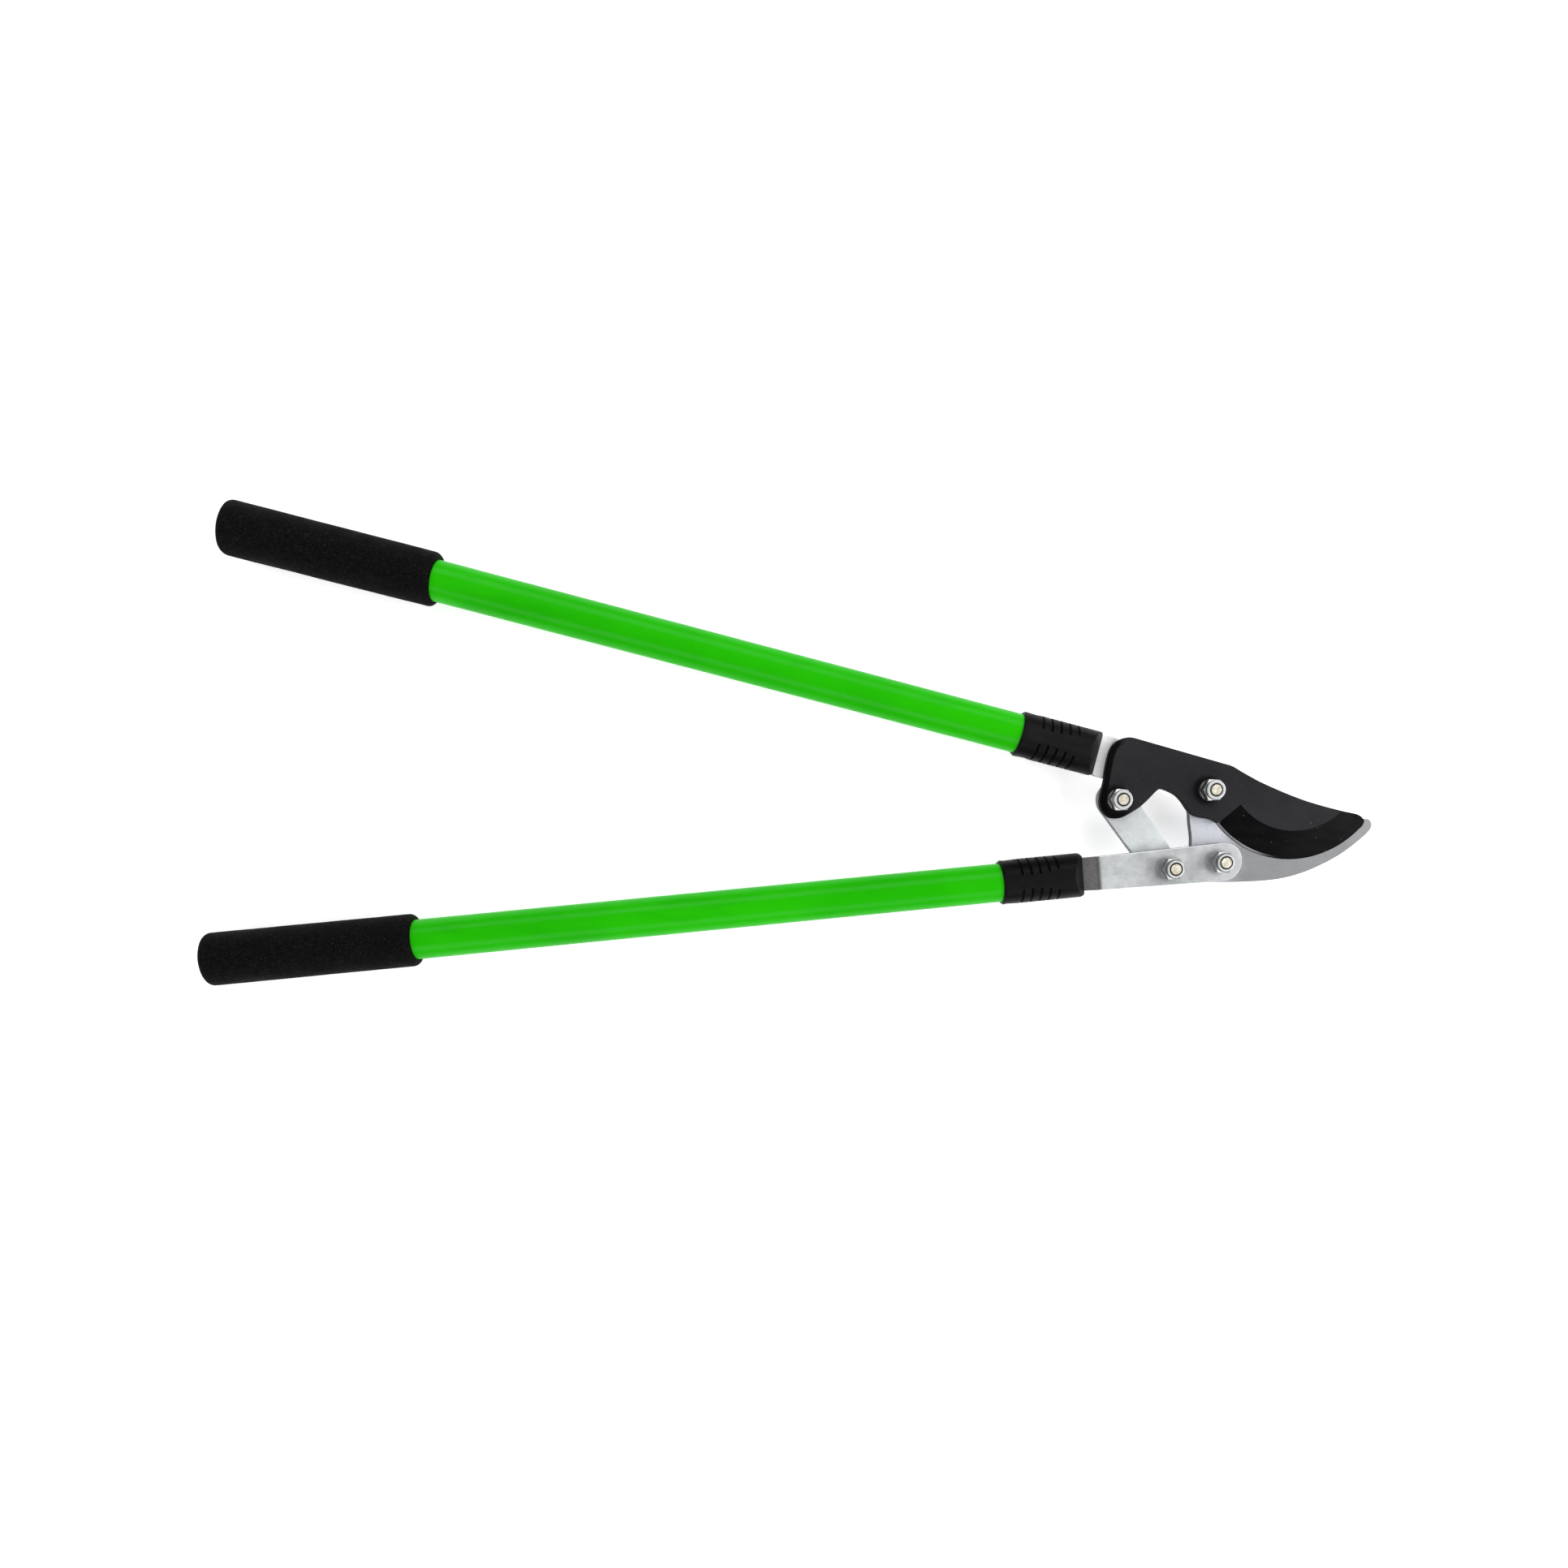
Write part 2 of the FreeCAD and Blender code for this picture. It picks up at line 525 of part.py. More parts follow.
save("cutting_blade", cutting_blade())
save("hook_blade", hook_blade())
save("link_plate", link_plate())
save("upper_tang", upper_tang())
save("lower_tang", lower_tang())
for side, up in (("upper", True), ("lower", False)):
    save(side + "_tube", tube(up))
    save(side + "_grip", grip(up))
    save(side + "_sleeve", sleeve(up))
    save(side + "_end_plug", end_plug(up))
    save(side + "_tang_insert", tang_insert(up))
    save(side + "_cross_pin", cross_pin(up))

Z_LOW = Z2 - 0.05 - WASHER_T        # washers of the two pivots that ride on the lower tang
for name, p, zw, phase, split in (
        ("main_pivot", P1, Z3 - WASHER_T, 4.4, -70.0),
        ("link_pivot", P2, Z3 - WASHER_T, 2.0, 84.0),
        ("hook_pivot", P3, Z_LOW, 1.0, -40.0),
        ("handle_pivot", P4, Z_LOW, 6.0, 60.0)):
    save(name + "_bolt", bolt(p, zw - HEAD_H, phase))
    save(name + "_flat_washer", flat_washer(p, zw))
    save(name + "_spring_washer", spring_washer(p, split))
    save(name + "_lock_nut", nut(p, phase, NUT_COLLAR_R_LOW if zw == Z_LOW else NUT_COLLAR_R))
    save(name + "_nylon_ring", nylon_ring(p))
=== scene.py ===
import json
import math

import bmesh
import bpy
from mathutils import Matrix, Vector, noise


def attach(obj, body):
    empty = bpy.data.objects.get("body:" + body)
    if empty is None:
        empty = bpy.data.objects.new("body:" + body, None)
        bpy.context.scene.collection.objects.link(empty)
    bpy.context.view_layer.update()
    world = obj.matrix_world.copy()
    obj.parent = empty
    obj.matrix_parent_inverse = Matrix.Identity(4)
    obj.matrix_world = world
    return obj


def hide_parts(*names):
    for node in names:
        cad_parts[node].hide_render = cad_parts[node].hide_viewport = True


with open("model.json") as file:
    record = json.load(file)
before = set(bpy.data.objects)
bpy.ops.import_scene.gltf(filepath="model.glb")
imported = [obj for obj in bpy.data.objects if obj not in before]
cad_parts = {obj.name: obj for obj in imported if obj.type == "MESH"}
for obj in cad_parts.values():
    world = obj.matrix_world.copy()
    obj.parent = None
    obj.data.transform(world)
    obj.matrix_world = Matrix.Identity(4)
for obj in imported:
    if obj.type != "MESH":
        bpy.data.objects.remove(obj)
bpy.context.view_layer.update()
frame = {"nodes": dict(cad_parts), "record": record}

N = frame["nodes"]
BODY = {n: b for b, ns in frame["record"]["behaviour"]["bodies"].items() for n in ns}

# ------------------------------------------------------------------ sizes, metres, as in the CAD model
HALF = math.radians(9.616)
AXIS_Z = 0.01645
UP_OFF, UP_END = 0.00456, -0.07665
LO_OFF, LO_END = -0.047255, -0.08665
SLEEVE_LEN, TUBE_VIS = 0.0542, 0.3706
TUBE_R, SLEEVE_R = 0.0125, 0.0144
END_ROUND, RIM_ROUND, END_WALL = 0.0040, 0.0036, 0.006
EDGE_C = (0.05594, 0.02488)
EDGE_R, BEVEL_R, MICRO_W = 0.06575, 0.0469, 0.00135


def handle_matrix(upper):
    """Handle frame (x = station from the main pivot's foot, z = 0 on the axis) to the row frame."""
    ang, off = (-HALF, UP_OFF) if upper else (HALF, LO_OFF)
    return Matrix.Rotation(ang, 4, "Z") @ Matrix.Translation((0, off, AXIS_Z))


# ------------------------------------------------------------------ camera
cam_data = bpy.data.cameras.new("camera")
cam = bpy.data.objects.new("camera", cam_data)
bpy.context.scene.collection.objects.link(cam)
rot = Matrix(((0.994928, -0.070683, -0.071567), (0.076455, 0.993744, 0.081414), (0.065365, -0.086472, 0.994108)))
cam.matrix_world = Matrix.Translation((-0.289517, -0.035236, 0.616156)) @ rot.to_4x4()
cam_data.sensor_width = 36.0
cam_data.lens = 1159.11 * 36.0 / 1932.0
cam_data.shift_x = (966.0 - 1011.065) / 1932.0
cam_data.shift_y = (1099.022 - 966.0) / 1932.0
cam_data.clip_start, cam_data.clip_end = 0.02, 20.0
bpy.context.scene.camera = cam


# ------------------------------------------------------------------ material helper
class Mat:
    """A small wrapper round one material's node tree."""

    def __init__(self, name):
        self.m = bpy.data.materials.new(name)
        self.m.use_nodes = True
        self.t = self.m.node_tree
        self.t.nodes.clear()
        self.out = self.t.nodes.new("ShaderNodeOutputMaterial")
        self.b = self.t.nodes.new("ShaderNodeBsdfPrincipled")
        self.t.links.new(self.b.outputs[0], self.out.inputs[0])
        self.tc = self.t.nodes.new("ShaderNodeTexCoord")
        self.obj = self.tc.outputs["Object"]

    def put(self, sock, val):
        if isinstance(val, bpy.types.NodeSocket):
            self.t.links.new(val, sock)
        elif val is not None:
            sock.default_value = val

    def set(self, name, val):
        self.put(self.b.inputs[name], val)
        return self

    def math(self, op, a, b=None, c=None, clamp=False):
        n = self.t.nodes.new("ShaderNodeMath")
        n.operation, n.use_clamp = op, clamp
        for i, v in enumerate((a, b, c)):
            self.put(n.inputs[i], v)
        return n.outputs[0]

    def noise(self, scale, detail=2.0, rough=0.5, vec=None, dist=0.0):
        n = self.t.nodes.new("ShaderNodeTexNoise")
        n.inputs["Scale"].default_value = scale
        n.inputs["Detail"].default_value = detail
        n.inputs["Roughness"].default_value = rough
        n.inputs["Distortion"].default_value = dist
        self.put(n.inputs["Vector"], vec or self.obj)
        return n.outputs["Fac"]

    def voronoi(self, scale, vec=None, feature="F1", out="Distance"):
        n = self.t.nodes.new("ShaderNodeTexVoronoi")
        n.feature = feature
        n.inputs["Scale"].default_value = scale
        self.put(n.inputs["Vector"], vec or self.obj)
        return n.outputs[out]

    def stretch(self, sx, sy, sz, rz=0.0):
        n = self.t.nodes.new("ShaderNodeMapping")
        n.inputs["Rotation"].default_value = (0, 0, rz)
        n.inputs["Scale"].default_value = (sx, sy, sz)
        self.put(n.inputs["Vector"], self.obj)
        return n.outputs[0]

    def ramp(self, fac, stops, mode="LINEAR"):
        n = self.t.nodes.new("ShaderNodeValToRGB")
        r = n.color_ramp
        r.interpolation = mode
        while len(r.elements) < len(stops):
            r.elements.new(0.5)
        for e, (p, col) in zip(r.elements, stops):
            e.position = p
            e.color = (col, col, col, 1) if isinstance(col, (int, float)) else (*col, 1)
        self.put(n.inputs[0], fac)
        return n.outputs[0]

    def span(self, v, a, b, lo=0.0, hi=1.0, smooth=True):
        n = self.t.nodes.new("ShaderNodeMapRange")
        n.interpolation_type = "SMOOTHSTEP" if smooth else "LINEAR"
        for i, x in enumerate((v, a, b, lo, hi)):
            self.put(n.inputs[i], x)
        return n.outputs[0]

    def mix(self, f, a, b, mode="MIX"):
        n = self.t.nodes.new("ShaderNodeMix")
        n.data_type, n.blend_type = "RGBA", mode
        for s, v in ((n.inputs[0], f), (n.inputs[6], a), (n.inputs[7], b)):
            if isinstance(v, tuple) and len(v) == 3:
                v = (*v, 1)
            self.put(s, v)
        return n.outputs[2]

    def bump(self, h, dist, strength=1.0, prev=None):
        n = self.t.nodes.new("ShaderNodeBump")
        n.inputs["Strength"].default_value = strength
        n.inputs["Distance"].default_value = dist
        self.put(n.inputs["Height"], h)
        if prev is not None:
            self.t.links.new(prev, n.inputs["Normal"])
        return n.outputs[0]

    def xyz(self, vec=None):
        n = self.t.nodes.new("ShaderNodeSeparateXYZ")
        self.put(n.inputs[0], vec or self.obj)
        return n.outputs[0], n.outputs[1], n.outputs[2]

    def normal(self):
        n = self.t.nodes.new("ShaderNodeNewGeometry")
        return self.xyz(n.outputs["Normal"])


def pivot_shadow(m, x, y, pts, r0, r1, shift=0.0016):
    """Painted shadow: a soft dark halo round the pivots' washers, set off a little to the left of each pivot."""
    out = None
    for px, py in pts:
        ax, ay = m.math("SUBTRACT", x, px - shift), m.math("SUBTRACT", y, py - 0.0002)
        d = m.math("SQRT", m.math("ADD", m.math("MULTIPLY", ax, ax), m.math("MULTIPLY", ay, ay)))
        d = m.math("ADD", d, m.math("MULTIPLY", m.math("SUBTRACT", m.noise(180, 3), 0.5), 0.0010))
        g = m.span(d, r0, r1, 1.0, 0.0)
        out = g if out is None else m.math("MAXIMUM", out, g)
    return out


PIV_BLADE = ((0.0, 0.0), (-0.05987, -0.0109))
PIV_TANG = ((0.01184, -0.04588), (-0.02077, -0.05246))


# ------------------------------------------------------------------ materials
def enamel():
    m = Mat("green_enamel")
    big = m.noise(14, 2)
    fine = m.noise(420, 3, 0.6)
    peel = m.noise(620, 2, 0.5)
    base = m.mix(m.span(big, 0.35, 0.65), (0.0125, 0.405, 0.0002), (0.0155, 0.450, 0.0003))
    base = m.mix(m.span(m.noise(46, 3, 0.6, m.stretch(0.25, 1.0, 1.0)), 0.52, 0.72, 0.0, 0.6), base, (0.0095, 0.355, 0.0003))
    base = m.mix(m.span(fine, 0.66, 0.80, 0.0, 0.7), base, (0.020, 0.46, 0.004))
    m.set("Base Color", base)
    m.set("Roughness", m.span(m.noise(90, 3), 0.3, 0.7, 0.27, 0.38))
    m.set("Specular IOR Level", 0.05)
    m.set("Coat Weight", 0.06).set("Coat Roughness", 0.05)
    m.set("Normal", m.bump(peel, 0.00004, 0.30, m.bump(m.noise(110, 2), 0.00006, 0.20)))
    return m.m


def foam():
    m = Mat("black_foam")
    cells = m.voronoi(1500)
    mott = m.noise(55, 4, 0.6)
    fine = m.noise(760, 4, 0.7)
    rub_and_highlight = m.noise(24, 4, 0.65, m.stretch(1.0, 1.6, 1.0), 0.6)
    base = m.mix(m.span(mott, 0.3, 0.72), (0.0018, 0.0017, 0.0017), (0.0034, 0.0032, 0.0032))
    base = m.mix(m.span(fine, 0.50, 0.68, 0.0, 0.9), base, (0.0125, 0.0120, 0.0120))
    base = m.mix(m.span(m.noise(340, 3, 0.7), 0.44, 0.36, 0.0, 0.85), base, (0.0010, 0.0010, 0.0010))
    base = m.mix(m.span(rub_and_highlight, 0.58, 0.74, 0.0, 0.55), base, (0.0105, 0.0102, 0.0102))
    m.set("Base Color", base)
    m.set("Roughness", m.span(mott, 0.3, 0.7, 0.66, 0.84))
    m.set("Specular IOR Level", 0.045)
    n = m.bump(m.noise(120, 3, 0.6), 0.00020, 0.40)
    n = m.bump(cells, 0.00014, 0.55, n)
    m.set("Normal", m.bump(fine, 0.00012, 0.7, n))
    return m.m


def moulded(upper):
    """Satin moulded plastic; the bottoms of the grip grooves are coloured near black as painted shade."""
    m = Mat("moulded_black_upper" if upper else "moulded_black_lower")
    mott = m.noise(70, 3)
    grain = m.noise(1100, 3, 0.6)
    base = m.mix(m.span(mott, 0.3, 0.7), (0.0024, 0.0024, 0.0026), (0.0040, 0.0039, 0.0042))
    base = m.mix(m.span(grain, 0.58, 0.74, 0.0, 0.6), base, (0.0095, 0.0095, 0.0100))
    x, y, z = m.xyz()
    ang, off = (-HALF, UP_OFF) if upper else (HALF, LO_OFF)
    lat = m.math("SUBTRACT", m.math("SUBTRACT", m.math("MULTIPLY", y, math.cos(ang)), m.math("MULTIPLY", x, math.sin(ang))), off)
    dz = m.math("SUBTRACT", z, AXIS_Z)
    r = m.math("SQRT", m.math("ADD", m.math("MULTIPLY", lat, lat), m.math("MULTIPLY", dz, dz)))
    st = m.math("ADD", m.math("MULTIPLY", x, math.cos(ang)), m.math("MULTIPLY", y, math.sin(ang)))
    end = UP_END if upper else LO_END
    in_zone = m.math("MULTIPLY", m.math("GREATER_THAN", st, end - SLEEVE_LEN + 0.010), m.math("LESS_THAN", st, end - 0.0095))
    groove = m.math("MULTIPLY", m.span(r, SLEEVE_R - 0.00006, SLEEVE_R - 0.00032, 0.0, 1.0), in_zone)
    # painted highlight: the top band between the grooves is coloured a little paler, more on the upper sleeve than the
    # lower
    top_highlight = m.math("MULTIPLY", m.span(m.math("ABSOLUTE", lat), 0.0022, 0.0072, 1.0, 0.0), m.span(m.noise(40, 3), 0.30, 0.62, 0.55, 1.0))
    base = m.mix(top_highlight, base, (0.0118, 0.0116, 0.0121) if upper else (0.0072, 0.0071, 0.0074))
    # painted shade in the groove bottoms
    base = m.mix(groove, base, (0.0004, 0.0004, 0.0004))
    m.set("Base Color", base)
    m.set("Roughness", m.math("ADD", m.span(m.noise(160, 3), 0.3, 0.7, 0.32, 0.44), m.math("MULTIPLY", groove, 0.4)))
    m.set("Specular IOR Level", 0.05)
    m.set("Normal", m.bump(grain, 0.00005, 0.40, m.bump(mott, 0.0001, 0.15)))
    return m.m


def coated():
    """Dark low-friction coating; a darker hollow bevel; a bare ground band along the edge's heel end."""
    m = Mat("coated_blade")
    x, y, z = m.xyz()
    dx, dy = m.math("SUBTRACT", x, EDGE_C[0]), m.math("SUBTRACT", y, EDGE_C[1])
    r = m.math("SQRT", m.math("ADD", m.math("MULTIPLY", dx, dx), m.math("MULTIPLY", dy, dy)))
    ang = m.math("ARCTAN2", dy, dx)                       # -2.377 at the heel, -0.69 at the tip
    nx, ny, nz = m.normal()
    mott = m.noise(26, 3, 0.55)
    fine = m.noise(520, 3, 0.6)
    face = m.mix(m.span(mott, 0.3, 0.7), (0.0185, 0.0182, 0.0205), (0.0250, 0.0246, 0.0280))
    face = m.mix(m.span(fine, 0.60, 0.78), face, (0.041, 0.041, 0.0435))
    # scattered light specks and small scuffs
    v = m.voronoi(210)
    speck = m.math("MULTIPLY", m.span(v, 0.055, 0.10, 1.0, 0.0), m.span(m.noise(33, 2), 0.53, 0.60))
    face = m.mix(speck, face, (0.16, 0.16, 0.17))
    streak = m.noise(60, 4, 0.7, m.stretch(1.0, 7.0, 1.0, -0.25))
    face = m.mix(m.span(streak, 0.63, 0.80, 0.0, 0.30), face, (0.058, 0.058, 0.061))
    # painted shade: the rolled left edge of the plate, which faces away from the light, is coloured darker
    flank = m.math("SUBTRACT", m.math("ADD", x, 0.0702), m.math("MULTIPLY", y, 0.099))

    def inside(cx, cy, rad):
        ax, ay = m.math("SUBTRACT", x, cx), m.math("SUBTRACT", y, cy)
        return m.math("SUBTRACT", rad, m.math("SQRT", m.math("ADD", m.math("MULTIPLY", ax, ax), m.math("MULTIPLY", ay, ay))))

    corner = m.math("ADD", inside(-0.0566, 0.0173, 0.0117),
                    m.math("SUBTRACT", 1.0, m.math("MULTIPLY", m.math("LESS_THAN", x, -0.0560), m.math("GREATER_THAN", y, 0.0173))))
    lobe = m.math("ADD", inside(-0.0599, -0.0109, 0.0121),
                  m.math("SUBTRACT", 1.0, m.math("MULTIPLY", m.math("LESS_THAN", x, -0.0470), m.math("LESS_THAN", y, -0.0109))))
    depth = m.math("MINIMUM", m.math("MINIMUM", flank, corner), lobe)
    depth = m.math("ADD", depth, m.math("MULTIPLY", m.math("SUBTRACT", m.noise(120, 3), 0.5), 0.0012))
    fade = m.math("MAXIMUM", m.span(x, -0.0640, -0.0570, 1.0, 0.0), m.math("MULTIPLY", m.span(x, -0.0560, -0.0480, 1.0, 0.0), m.math("LESS_THAN", y, -0.0109)))
    left = m.math("MULTIPLY", m.span(depth, 0.0030, 0.0042, 0.97, 0.0), fade)
    face = m.mix(left, face, (0.0016, 0.0015, 0.0015))
    # painted shadow: dark halos to the left of the blade's two pivots
    face = m.mix(m.math("MULTIPLY", pivot_shadow(m, x, y, PIV_BLADE, 0.0072, 0.0112), 0.85), face, (0.0030, 0.0030, 0.0032))
    # bevel: in the band of the hollow grind, past its radial shoulder, and on a tilted face
    in_band = m.math("MULTIPLY", m.math("GREATER_THAN", r, BEVEL_R - 0.00015),
                     m.math("GREATER_THAN", ang, math.radians(-136.35)))
    in_band = m.math("MULTIPLY", in_band, m.math("LESS_THAN", ang, math.radians(-10)))
    tilted = m.math("LESS_THAN", nz, 0.993)
    bev = m.math("MULTIPLY", in_band, tilted)
    grind = m.noise(200, 4, 0.65, m.stretch(0.25, 1.0, 1.0))
    bcol = m.mix(m.span(grind, 0.3, 0.72), (0.0018, 0.0018, 0.0022), (0.0040, 0.0040, 0.0046))
    bcol = m.mix(m.math("MULTIPLY", speck, 0.7), bcol, (0.10, 0.10, 0.11))
    col = m.mix(bev, face, bcol)
    # painted shade: the plate's steep side walls are coloured near black
    col = m.mix(m.span(nz, 0.35, 0.80, 1.0, 0.0), col, (0.0022, 0.0022, 0.0024))
    # ground micro-bevel, bright at the heel end and coated further on
    wob = m.math("MULTIPLY", m.math("SUBTRACT", m.noise(90, 3), 0.5), 0.0004)
    rr = m.math("ADD", r, wob)
    micro = m.math("MULTIPLY", m.math("GREATER_THAN", rr, EDGE_R - MICRO_W - 0.0001), m.math("GREATER_THAN", ang, math.radians(-136.3)))
    heelwards = m.span(ang, math.radians(-112), math.radians(-92), 1.0, 0.0)
    line = m.math("LESS_THAN", rr, EDGE_R - 0.00030)
    bare = m.math("MULTIPLY", m.math("MULTIPLY", micro, heelwards), line)
    bare = m.math("MULTIPLY", bare, m.math("GREATER_THAN", nz, 0.5))
    col = m.mix(bare, col, (0.20, 0.20, 0.205))
    m.set("Base Color", col)
    m.set("Metallic", m.math("MULTIPLY", bare, 0.75))
    rough = m.span(m.noise(75, 4, 0.6), 0.3, 0.7, 0.36, 0.50)
    m.set("Roughness", rough)
    m.set("Specular IOR Level", 0.035)
    n = m.bump(fine, 0.00005, 0.30)
    m.set("Normal", m.bump(mott, 0.0002, 0.10, n))
    return m.m


def steel(name, tint, lo, hi, r0, r1, metal=0.85, mott_scale=45.0, dirt=0.35, lines=0.0, dark_x=None,
          halo=None, lit_edge=False, pale=None):
    """Bare or zinc-plated steel with soft mottling, small stains and fine rolling lines."""
    m = Mat(name)
    mott = m.noise(mott_scale, 5, 0.62)
    cloud = m.noise(mott_scale * 0.3, 3, 0.5)
    a, b = (tuple(t * lo for t in tint)), (tuple(t * hi for t in tint))
    col = m.mix(m.span(mott, 0.32, 0.68), a, b)
    col = m.mix(m.span(cloud, 0.35, 0.65, 0.0, 0.30), col, tuple(t * hi * 1.06 for t in tint))
    stain = m.math("MULTIPLY", m.span(m.noise(mott_scale * 3.2, 4, 0.7), 0.60, 0.74), dirt)
    col = m.mix(stain, col, tuple(t * lo * 0.62 for t in tint))
    grain = m.noise(260, 3, 0.6, m.stretch(0.10, 1.0, 1.0, -0.15))
    if lines:
        col = m.mix(m.span(grain, 0.35, 0.7, 0.0, lines), col, tuple(t * lo * 0.8 for t in tint))
    nx, ny, nz = m.normal()
    ox, oy, oz = m.xyz()
    if pale is not None:
        # plated end that the rubbing blade hasn't greyed
        rub_and_highlight = m.math("ADD", ox, m.math("MULTIPLY", m.math("SUBTRACT", m.noise(38, 4, 0.6), 0.5), 0.030))
        clean = m.math("MULTIPLY", m.span(rub_and_highlight, 0.010, 0.036, 1.0, 0.0), m.span(mott, 0.25, 0.75, 0.85, 1.0))
        col = m.mix(clean, col, m.mix(cloud, (pale[0] * 0.92, pale[1] * 0.94, pale[2]), pale))
    specks = m.span(m.noise(1100, 4, 0.75), 0.48, 0.68, 0.0, 0.26)
    col = m.mix(specks, col, tuple(t * lo * 0.55 for t in tint))
    pits = m.math("MULTIPLY", m.span(m.voronoi(300), 0.08, 0.15, 1.0, 0.0), m.span(m.noise(60, 2), 0.50, 0.60, 0.0, 0.45))
    col = m.mix(pits, col, tuple(t * lo * 0.38 for t in tint))
    if halo is not None:
        # painted shadow: dark halos to the left of the tang's pivots
        col = m.mix(m.math("MULTIPLY", pivot_shadow(m, ox, oy, halo, 0.0068, 0.0100), 0.42), col, tuple(t * lo * 0.30 for t in tint))
    # painted shade: faces that turn sideways are coloured darker
    side = m.span(m.math("ABSOLUTE", nz), 0.30, 0.85, 0.92, 0.0)
    col = m.mix(side, col, tuple(t * lo * 0.20 for t in tint))
    if lit_edge:
        # painted highlight: edges that face +Y and partly up are coloured near white, as if lit
        rub_and_highlight = m.math("MULTIPLY", m.span(ny, 0.20, 0.45), m.math("MULTIPLY", m.span(nz, 0.15, 0.35), m.span(nz, 0.90, 0.98, 1.0, 0.0)))
        col = m.mix(rub_and_highlight, col, (0.90, 0.91, 0.92))
    if dark_x is not None:
        # painted shade: the sloped part of the strip next to its sleeve is coloured dark, with a darker line along the
        # bend
        x, y, z = m.xyz()
        s = m.math("ADD", m.math("MULTIPLY", x, math.cos(HALF)), m.math("MULTIPLY", y, math.sin(HALF)))
        s = m.math("ADD", s, m.math("MULTIPLY", m.math("SUBTRACT", m.noise(170, 4, 0.65), 0.5), 0.0016))
        band = m.span(s, dark_x[0], dark_x[1], dark_x[2], 0.0)
        spots = m.span(m.noise(900, 4, 0.7), 0.35, 0.70)
        col = m.mix(band, col, m.mix(spots, (0.125, 0.120, 0.118), (0.205, 0.198, 0.196)))
        bend_shade = m.math("MULTIPLY", m.span(s, dark_x[0] - 0.0012, dark_x[0] + 0.0002), m.span(s, dark_x[0] + 0.0004, dark_x[1], 1.0, 0.0))
        col = m.mix(m.math("MULTIPLY", bend_shade, 0.55), col, (0.075, 0.074, 0.074))
    m.set("Base Color", col)
    m.set("Metallic", metal)
    m.set("Roughness", m.span(m.noise(mott_scale * 1.7, 4, 0.6), 0.3, 0.7, r0, r1))
    n = m.bump(grain, 0.00004, 0.22)
    n = m.bump(m.noise(620, 3, 0.6), 0.00004, 0.30, n)
    m.set("Normal", m.bump(mott, 0.00015, 0.12, n))
    return m.m


def fastener(name, col, r0, r1, metal=0.95, top=None):
    m = Mat(name)
    mott = m.noise(320, 4, 0.6)
    c = m.mix(m.span(mott, 0.3, 0.7), tuple(t * 0.82 for t in col), col)
    c = m.mix(m.span(m.noise(900, 3, 0.7), 0.62, 0.76, 0.0, 0.4), c, tuple(t * 0.45 for t in col))
    if top is not None:
        # painted light and shade: the turned top is coloured bright and less metallic, and the flats darker the more
        # they face sideways
        nx, ny, nz = m.normal()
        px, py, pz = m.xyz()
        up = m.math("MULTIPLY", m.span(nz, 0.45, 0.90), m.span(pz, 0.02865, 0.0290))
        c = m.mix(up, m.mix(m.span(nz, 0.3, 0.9, 0.75, 0.40), c, tuple(t * 0.30 for t in col)), m.mix(m.span(mott, 0.35, 0.8, 0.0, 0.3), top, col))
        m.set("Metallic", m.math("SUBTRACT", metal, m.math("MULTIPLY", up, metal - 0.25)))
    else:
        m.set("Metallic", metal)
    m.set("Base Color", c)
    m.set("Roughness", m.span(m.noise(500, 3), 0.3, 0.7, r0, r1))
    m.set("Normal", m.bump(m.noise(800, 3), 0.00003, 0.30))
    return m.m


def bolt_metal():
    """Zinc-plated head and shank with a warm cut end; the end's turned-down rim is coloured dark and not metallic as
    painted shade.
    """
    m = Mat("bolt_zinc")
    x, y, z = m.xyz()
    mott = m.noise(420, 4, 0.6)
    zinc = m.mix(m.span(mott, 0.3, 0.7), (0.50, 0.50, 0.50), (0.66, 0.66, 0.65))
    nx, ny, nz = m.normal()
    end = m.math("MULTIPLY", m.math("GREATER_THAN", z, 0.0300), m.math("GREATER_THAN", nz, 0.95))
    rim = m.math("MULTIPLY", m.math("GREATER_THAN", z, 0.0300), m.math("LESS_THAN", nz, 0.95))
    warm = m.mix(m.span(m.noise(260, 4, 0.65), 0.35, 0.68), (0.50, 0.46, 0.35), (0.84, 0.80, 0.68))
    c = m.mix(end, zinc, warm)
    c = m.mix(m.math("MULTIPLY", end, m.span(m.noise(800, 4, 0.7), 0.52, 0.64, 0.0, 0.65)), c, (0.24, 0.21, 0.15))
    # painted shade on the bolt end's chamfered rim
    c = m.mix(rim, c, (0.012, 0.0115, 0.010))
    m.set("Base Color", c)
    m.set("Metallic", m.math("SUBTRACT", 0.92, m.math("ADD", m.math("MULTIPLY", rim, 0.92), m.math("MULTIPLY", end, 0.45))))
    m.set("Roughness", m.math("ADD", 0.26, m.math("MULTIPLY", end, 0.20)))
    m.set("Normal", m.bump(m.noise(700, 4, 0.6), 0.00006, 0.35))
    return m.m


